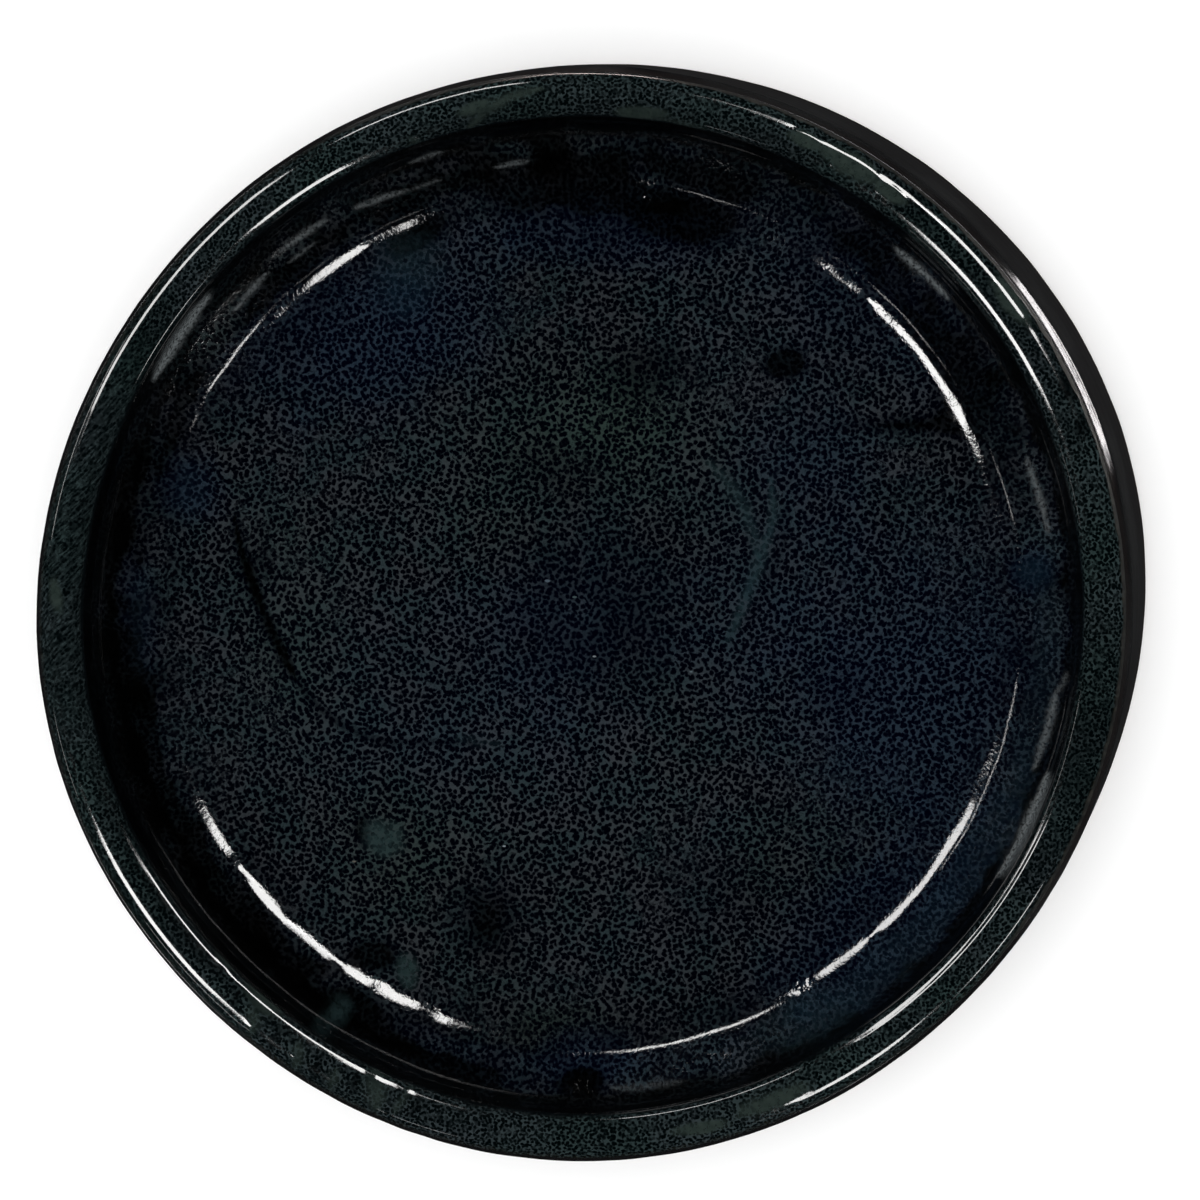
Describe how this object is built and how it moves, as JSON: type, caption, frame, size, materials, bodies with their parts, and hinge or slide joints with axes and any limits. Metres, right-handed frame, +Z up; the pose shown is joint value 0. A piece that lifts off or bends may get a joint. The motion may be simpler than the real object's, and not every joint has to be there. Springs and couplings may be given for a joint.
{
  "type": "plant saucer",
  "caption": "Round glazed stoneware saucer with a flat well, a thick rounded rim and a recessed foot, for a flower pot to stand in.",
  "frame": {"origin": "on the standing surface, at the middle of the foot", "axes": "+Z up, the axis that the saucer was turned about; X and Y lie in the standing surface and are alike"},
  "size_m": [0.2064, 0.2064, 0.034],
  "materials": {
    "bare_clay": "bare fired stoneware, dry and slightly gritty",
    "well_glaze": "glossy, net-like mottle of dark spots in blue grey and teal",
    "rim_glaze": "glossy, fine teal green mottle with thicker grey green runs",
    "black_glaze": "satin black",
    "recess_glaze": "satin black, slightly dry"
  },
  "bodies": {
    "root": {"clay_body": "bare_clay", "glaze_well": "well_glaze", "glaze_rim": "rim_glaze", "glaze_outside": "black_glaze", "glaze_recess": "recess_glaze"}
  },
  "joints": []
}
